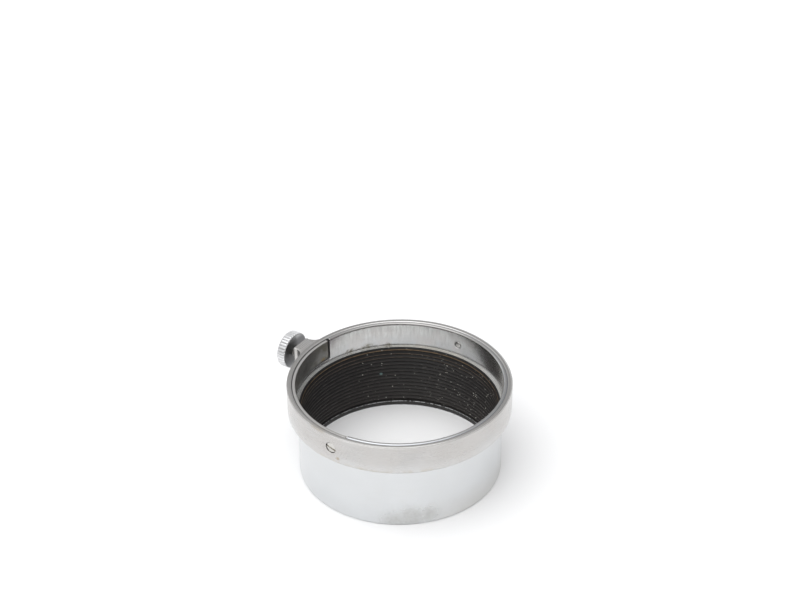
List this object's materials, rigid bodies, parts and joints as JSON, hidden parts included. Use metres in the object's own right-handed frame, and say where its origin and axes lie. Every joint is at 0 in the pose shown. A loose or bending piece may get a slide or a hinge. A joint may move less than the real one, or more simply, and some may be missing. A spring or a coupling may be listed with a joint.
{
  "type": "lens hood",
  "caption": "Clamp-on lens hood: a satin metal tube with a ribbed black bore, and a collar whose knurled thumb screw presses a curved leaf against the lens's rim.",
  "frame": {"origin": "on the optical axis, at the seat inside the clamp socket that the lens's front rim comes up against", "axes": "+Z along the optical axis from the front rim towards the lens, +X along the clamp screw from the bore outwards to its head, +Y completes the right-handed frame"},
  "size_m": [0.0443, 0.0392, 0.0187],
  "materials": {
    "satin_chrome": "satin",
    "black_paint": "matte, rubbed through at the edges",
    "satin_nickel": "satin, slightly tarnished",
    "spring_steel": "dull, stained",
    "dark_steel": "machined",
    "bright_chrome": "bright",
    "screw_nickel": "bright, worn in the slots"
  },
  "bodies": {
    "hood": {"hood_barrel": "satin_chrome", "baffle_sleeve": "black_paint", "clamp_collar": "satin_nickel", "spring_screw": "screw_nickel", "collar_screw": "screw_nickel"},
    "leaf": {"clamp_spring": "spring_steel"},
    "clamp_screw": {"clamp_screw_spindle": "dark_steel", "knurled_screw_head": "bright_chrome"}
  },
  "joints": [
    {"name": "clamp_press", "type": "slide", "parent": "hood", "child": "leaf", "axis": [-1, 0, 0], "range_m": [0, 0.0004], "deforming": ["clamp_spring"]},
    {"name": "screw_turn", "type": "hinge", "parent": "leaf", "child": "clamp_screw", "pos_m": [0.0217, 0, 0.0025], "axis": [-1, 0, 0], "range_deg": [0, 360]}
  ],
  "couplings": [
    {"joint": "screw_turn", "follows": "clamp_press", "rad_per_m": 15708}
  ]
}
